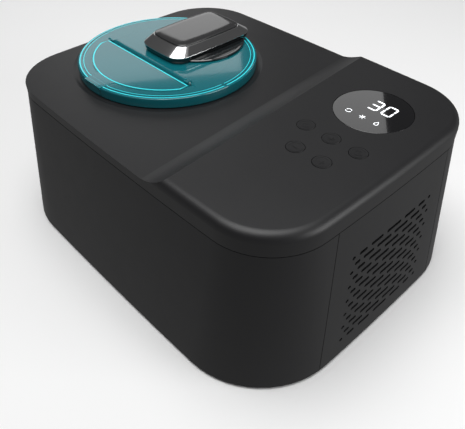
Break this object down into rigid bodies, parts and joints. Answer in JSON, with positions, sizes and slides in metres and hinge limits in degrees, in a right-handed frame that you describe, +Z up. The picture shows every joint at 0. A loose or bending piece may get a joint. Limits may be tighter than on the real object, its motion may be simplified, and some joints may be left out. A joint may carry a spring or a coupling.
{
  "type": "ice cream maker",
  "caption": "Countertop compressor ice cream maker with a clear round lid, a hinged ingredient flap, a stirring drive on the lid, a display and a slotted vent end.",
  "frame": {"origin": "on the surface it stands on, in the middle of the casing's foot", "axes": "+Z up, +X towards the vent end, -Y the front"},
  "size_m": [0.4016, 0.3164, 0.1784],
  "materials": {
    "matt_black": "fine matt",
    "gloss_black": "polished",
    "display_glass": "polished",
    "teal_clear": "clear tinted plastic",
    "chrome": "polished",
    "steel": "brushed",
    "aluminium": "satin",
    "copper": "drawn tube",
    "rubber": "matt",
    "foam": "foamed",
    "white_plastic": "satin",
    "circuit_board": "solder mask",
    "black_enamel": "enamel"
  },
  "bodies": {
    "casing": {"base_tray": "matt_black", "body_shell": "matt_black", "end_panel": "matt_black", "top_cover": "matt_black", "foot_front_left": "rubber", "foot_front_right": "rubber", "foot_rear_left": "rubber", "foot_rear_right": "rubber", "foot_screw_front_left": "steel", "foot_screw_front_right": "steel", "foot_screw_rear_left": "steel", "foot_screw_rear_right": "steel", "display_lens": "display_glass", "display_board": "circuit_board", "chilled_well": "aluminium", "insulation_foam": "foam", "bowl_collar": "matt_black", "evaporator_coil": "copper", "compressor": "black_enamel", "compressor_mount_1": "rubber", "compressor_mount_2": "rubber", "compressor_mount_3": "rubber", "condenser": "aluminium", "fan_shroud": "white_plastic", "fan_motor": "steel", "suction_line": "copper", "discharge_line": "copper", "filter_drier": "copper", "power_board": "circuit_board", "power_inlet": "gloss_black"},
    "lid": {"lid": "teal_clear", "flap_hinge_pin": "steel", "drive_housing": "gloss_black", "drive_hub": "gloss_black", "drive_trim": "chrome", "drive_top_plate": "gloss_black", "idler_axle": "steel", "stirring_motor": "steel"},
    "flap": {"lid_flap": "teal_clear"},
    "stirrer": {"output_gear": "white_plastic", "output_shaft": "steel", "paddle": "white_plastic"},
    "idler": {"idler_gear": "white_plastic"},
    "pinion": {"motor_pinion": "steel"},
    "bowl": {"removable_bowl": "aluminium"},
    "fan": {"fan_rotor": "gloss_black"},
    "key_1": {"key_cap_1": "matt_black"},
    "key_2": {"key_cap_2": "matt_black"},
    "key_3": {"key_cap_3": "matt_black"},
    "key_4": {"key_cap_4": "matt_black"},
    "key_5": {"key_cap_5": "matt_black"}
  },
  "joints": [
    {"name": "lid_lift", "type": "slide", "parent": "casing", "child": "lid", "axis": [0, 0, 1], "range_m": [0, 0.14]},
    {"name": "bowl_lift", "type": "slide", "parent": "casing", "child": "bowl", "axis": [0, 0, 1], "range_m": [0, 0.063]},
    {"name": "flap_hinge", "type": "hinge", "parent": "lid", "child": "flap", "pos_m": [-0.09, -0.0267, 0.1626], "axis": [-1, 0, 0], "range_deg": [0, 95]},
    {"name": "stirrer_spin", "type": "hinge", "parent": "lid", "child": "stirrer", "pos_m": [-0.09, -0.0025, 0.1], "axis": [0, 0, 1], "continuous": true},
    {"name": "idler_spin", "type": "hinge", "parent": "lid", "child": "idler", "pos_m": [-0.09, 0.0107, 0.168], "axis": [0, 0, 1], "continuous": true},
    {"name": "pinion_spin", "type": "hinge", "parent": "lid", "child": "pinion", "pos_m": [-0.09, 0.0319, 0.1716], "axis": [0, 0, 1], "continuous": true},
    {"name": "fan_spin", "type": "hinge", "parent": "casing", "child": "fan", "pos_m": [0.166, 0.004, 0.066], "axis": [1, 0, 0], "continuous": true},
    {"name": "key_press_1", "type": "slide", "parent": "casing", "child": "key_1", "axis": [0, 0, -1], "range_m": [0, 0.0008], "stiffness_N_per_m": 400},
    {"name": "key_press_2", "type": "slide", "parent": "casing", "child": "key_2", "axis": [0, 0, -1], "range_m": [0, 0.0008], "stiffness_N_per_m": 400},
    {"name": "key_press_3", "type": "slide", "parent": "casing", "child": "key_3", "axis": [0, 0, -1], "range_m": [0, 0.0008], "stiffness_N_per_m": 400},
    {"name": "key_press_4", "type": "slide", "parent": "casing", "child": "key_4", "axis": [0, 0, -1], "range_m": [0, 0.0008], "stiffness_N_per_m": 400},
    {"name": "key_press_5", "type": "slide", "parent": "casing", "child": "key_5", "axis": [0, 0, -1], "range_m": [0, 0.0008], "stiffness_N_per_m": 400}
  ],
  "couplings": [
    {"joint": "bowl_lift", "follows": "lid_lift", "ratio": 0.45},
    {"joint": "idler_spin", "follows": "stirrer_spin", "ratio": -1.6},
    {"joint": "pinion_spin", "follows": "stirrer_spin", "ratio": 4}
  ]
}
